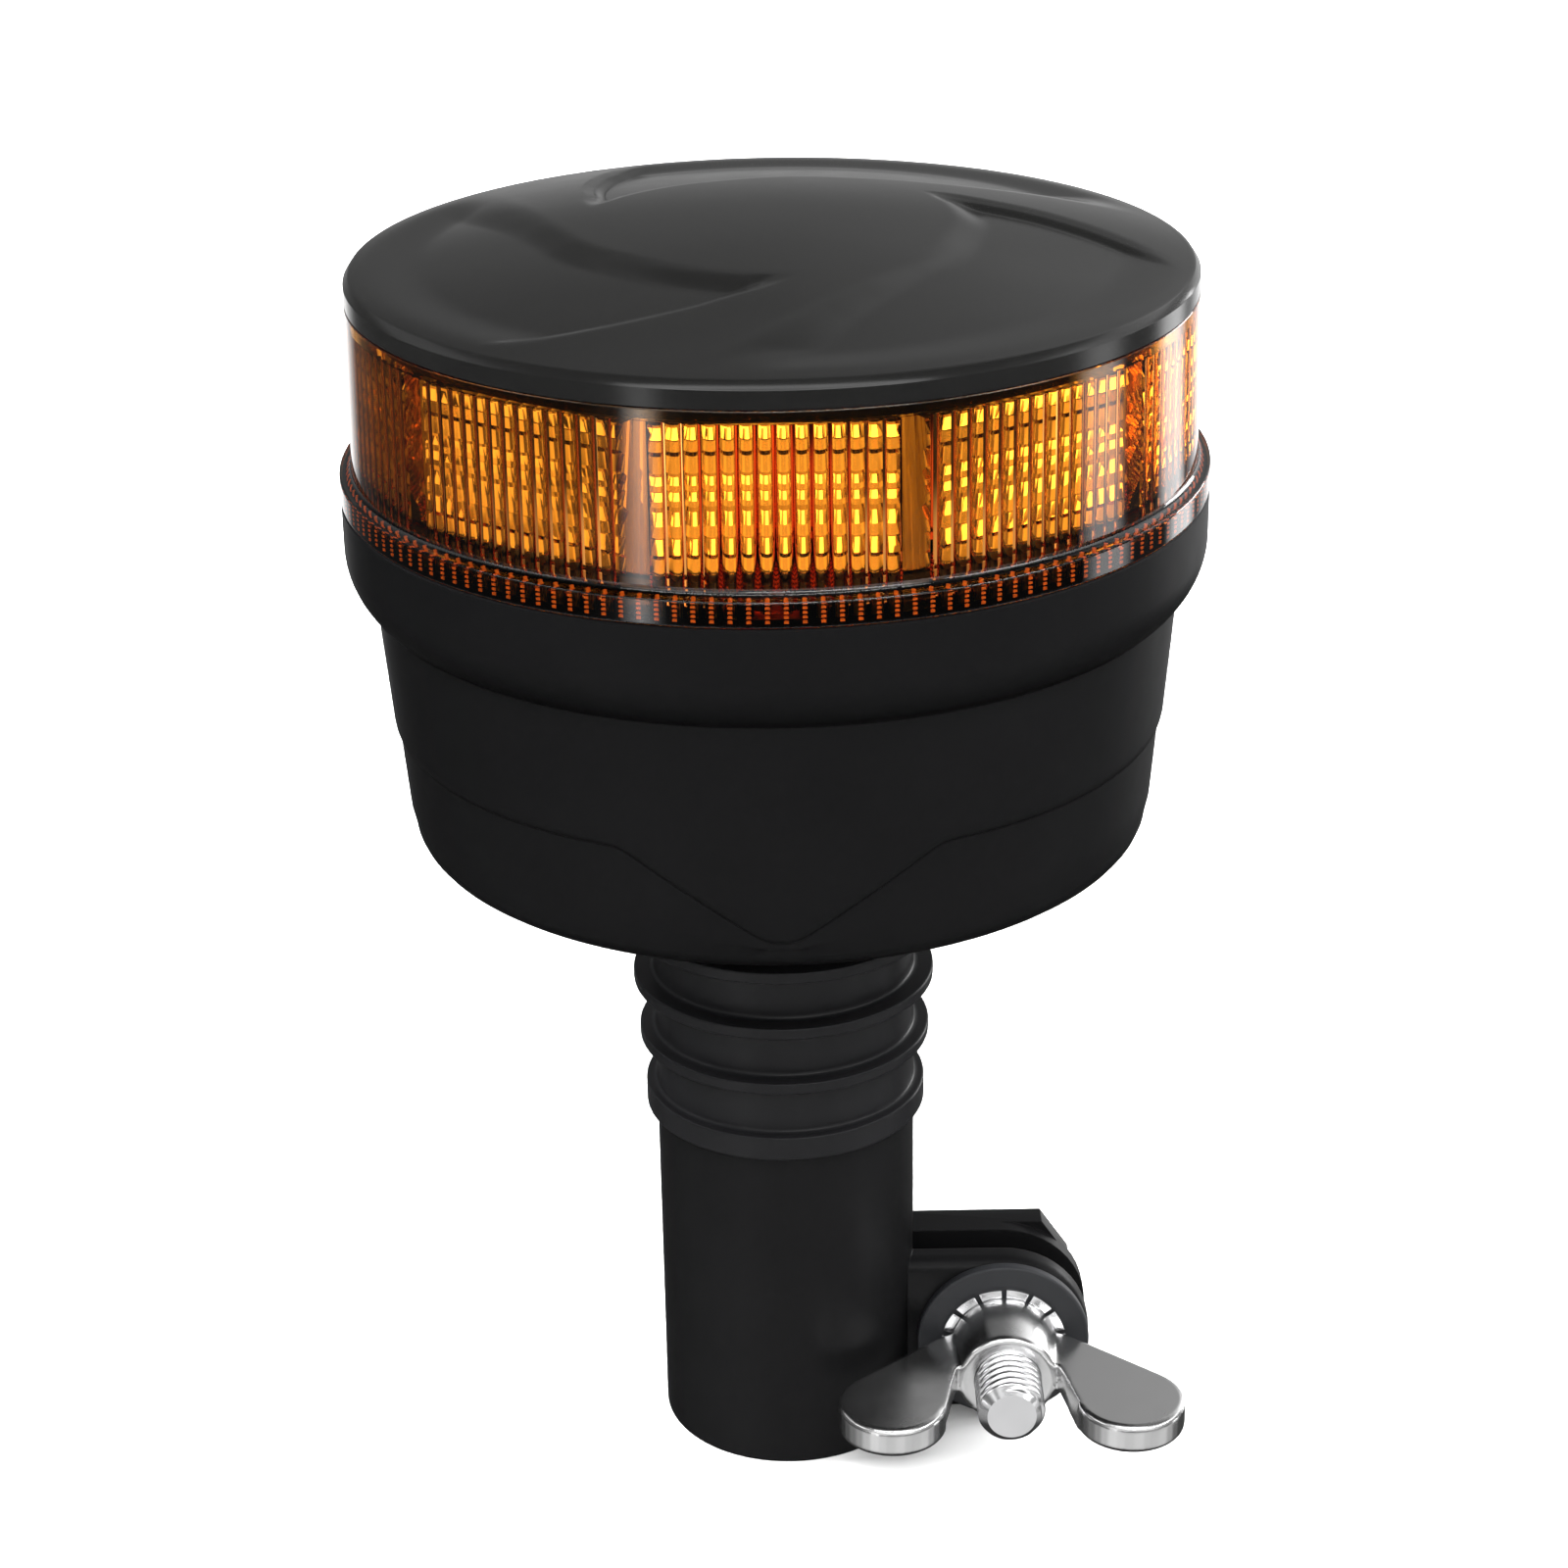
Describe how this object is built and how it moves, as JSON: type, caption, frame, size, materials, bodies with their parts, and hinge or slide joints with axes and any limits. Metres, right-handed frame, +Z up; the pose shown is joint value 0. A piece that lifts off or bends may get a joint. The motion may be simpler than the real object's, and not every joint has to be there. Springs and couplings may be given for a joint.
{
  "type": "led beacon",
  "caption": "Amber warning beacon: a ring of light panels behind a fluted lens, on a black bowl with a ribbed flexible neck and a pole clamp sleeve closed by a wing nut.",
  "frame": {"origin": "centre of the sleeve's open lower end, on the surface that the beacon stands on", "axes": "+Z up along the pole, -Y to the front where the clamp bolt points, +X to the side of the clamp ears"},
  "size_m": [0.1188, 0.1188, 0.1859],
  "materials": {
    "sleeve_plastic": "fine satin black",
    "neck_rubber": "smooth black rubber",
    "bright_steel": "bright zinc plate",
    "cast_zinc": "satin plated casting",
    "washer_plastic": "dark grey, matte",
    "insulator": "natural nylon",
    "contact_brass": "turned brass",
    "spring_steel": "drawn wire",
    "lead_sheath": "wire sheath",
    "base_plastic": "fine matte black",
    "cap_plastic": "satin black dome",
    "plain_steel": "plain steel",
    "amber_lens": "clear amber, smooth outside",
    "clear_optic": "clear, ribbed",
    "seal_rubber": "black rubber ring",
    "circuit_board": "green lacquer",
    "can_aluminium": "bare can",
    "choke_core": "ferrite",
    "chip_black": "moulded package",
    "sink_aluminium": "cast aluminium",
    "led_board_white": "white lacquer",
    "emitter_yellow": "phosphor dome"
  },
  "bodies": {
    "sleeve": {"clamp_sleeve": "sleeve_plastic", "front_ear": "sleeve_plastic", "rear_ear": "sleeve_plastic", "clamp_bolt": "bright_steel", "flat_washer": "washer_plastic", "contact_block": "insulator", "earth_contact": "contact_brass", "contact_spring": "spring_steel", "flexible_neck": "neck_rubber", "supply_leads": "lead_sheath"},
    "contact": {"contact_pin": "contact_brass"},
    "nut_carrier": {"lock_washer": "bright_steel"},
    "nut": {"wing_nut": "cast_zinc"},
    "lamp": {"base_housing": "base_plastic", "neck_retainer": "plain_steel", "retainer_screws": "plain_steel", "lens": "amber_lens", "lens_seal": "seal_rubber", "lens_screws": "plain_steel", "top_cap": "cap_plastic", "driver_board": "circuit_board", "capacitors": "can_aluminium", "coil_choke": "choke_core", "driver_chips": "chip_black", "lead_terminal": "insulator", "board_standoffs": "contact_brass", "heat_sink": "sink_aluminium", "heat_sink_screws": "plain_steel", "led_boards": "led_board_white", "led_emitters": "emitter_yellow", "optic_panels": "clear_optic"}
  },
  "joints": [
    {"name": "neck_flex", "type": "hinge", "parent": "sleeve", "child": "lamp", "pos_m": [0, 0, 0.0765], "axis": [1, 0, 0], "range_deg": [-25, 25], "stiffness_Nm_per_rad": 8, "deforming": ["flexible_neck", "supply_leads"]},
    {"name": "contact_plunge", "type": "slide", "parent": "sleeve", "child": "contact", "axis": [0, 0, 1], "range_m": [0, 0.003], "stiffness_N_per_m": 1500, "springref_m": -0.002, "deforming": ["contact_spring"]},
    {"name": "nut_travel", "type": "slide", "parent": "sleeve", "child": "nut_carrier", "axis": [0, -1, 0], "range_m": [0, 0.0045]},
    {"name": "wing_nut_turn", "type": "hinge", "parent": "nut_carrier", "child": "nut", "pos_m": [0.0323, 0, 0.0136], "axis": [0, -1, 0], "range_deg": [0, 1080]}
  ],
  "couplings": [
    {"joint": "wing_nut_turn", "follows": "nut_travel", "rad_per_m": 4188.8}
  ]
}
